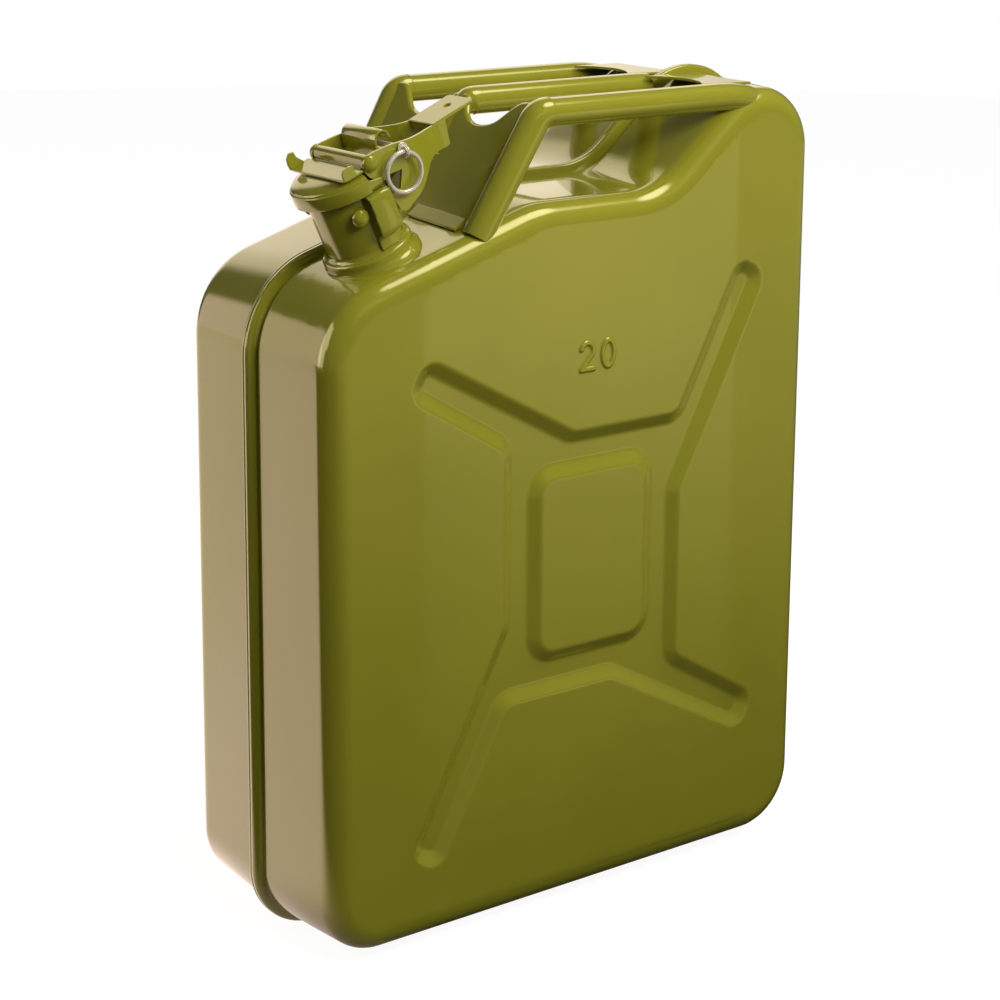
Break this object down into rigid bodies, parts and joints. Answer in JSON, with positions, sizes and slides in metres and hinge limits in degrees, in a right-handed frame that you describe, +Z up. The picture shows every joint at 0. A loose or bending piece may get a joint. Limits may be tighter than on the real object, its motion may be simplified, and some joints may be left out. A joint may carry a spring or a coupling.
{
  "type": "jerry can",
  "caption": "Pressed steel fuel can with a tilted filler neck, a lever-locked hinged cap and a triple-bar carrying handle.",
  "frame": {"origin": "centre of the floor outline, on the floor plane under the feet", "axes": "+Z up; the spout is towards -X and the broad faces look towards -Y and +Y"},
  "size_m": [0.3534, 0.149, 0.4717],
  "materials": {
    "paint": "glossy olive green enamel",
    "zinc": "pale zinc plating",
    "rubber": "black seal"
  },
  "bodies": {
    "can": {"half_near": "paint", "half_far": "paint", "neck_tube": "paint", "neck_collar": "paint", "breather_tube": "paint", "hinge_bracket": "paint", "hinge_pin": "zinc", "keeper_near": "paint", "keeper_far": "paint", "keeper_stud_near": "paint", "keeper_stud_far": "paint", "handle_front": "paint", "bar_near": "paint", "bar_middle": "paint", "bar_far": "paint", "rear_web_near": "paint", "rear_web_far": "paint"},
    "cap": {"cap_lid": "paint", "cap_seal": "rubber", "saddle_plate": "paint", "pivot_pin": "paint", "cap_arm": "paint"},
    "lever": {"lever": "paint", "pin_hood": "paint"},
    "safety_pin": {"safety_pin": "zinc"},
    "split_ring": {"split_ring": "zinc"}
  },
  "joints": [
    {"name": "cap_swing", "type": "hinge", "parent": "can", "child": "cap", "pos_m": [-0.10322, -0.032, 0.43857], "axis": [0, 1, 0], "range_deg": [0, 95]},
    {"name": "lever_lift", "type": "hinge", "parent": "cap", "child": "lever", "pos_m": [-0.13345, -0.032, 0.44131], "axis": [0, 1, 0], "range_deg": [-105, 0]},
    {"name": "pin_pull", "type": "slide", "parent": "lever", "child": "safety_pin", "axis": [0, -1, 0], "range_m": [0, 0.056]},
    {"name": "ring_swing", "type": "hinge", "parent": "safety_pin", "child": "split_ring", "pos_m": [-0.11382, -0.0606, 0.44625], "axis": [-0.9985, 0, 0.0555], "range_deg": [0, 60]}
  ],
  "couplings": [
    {"joint": "lever_lift", "follows": "cap_swing", "ratio": -1.1}
  ]
}
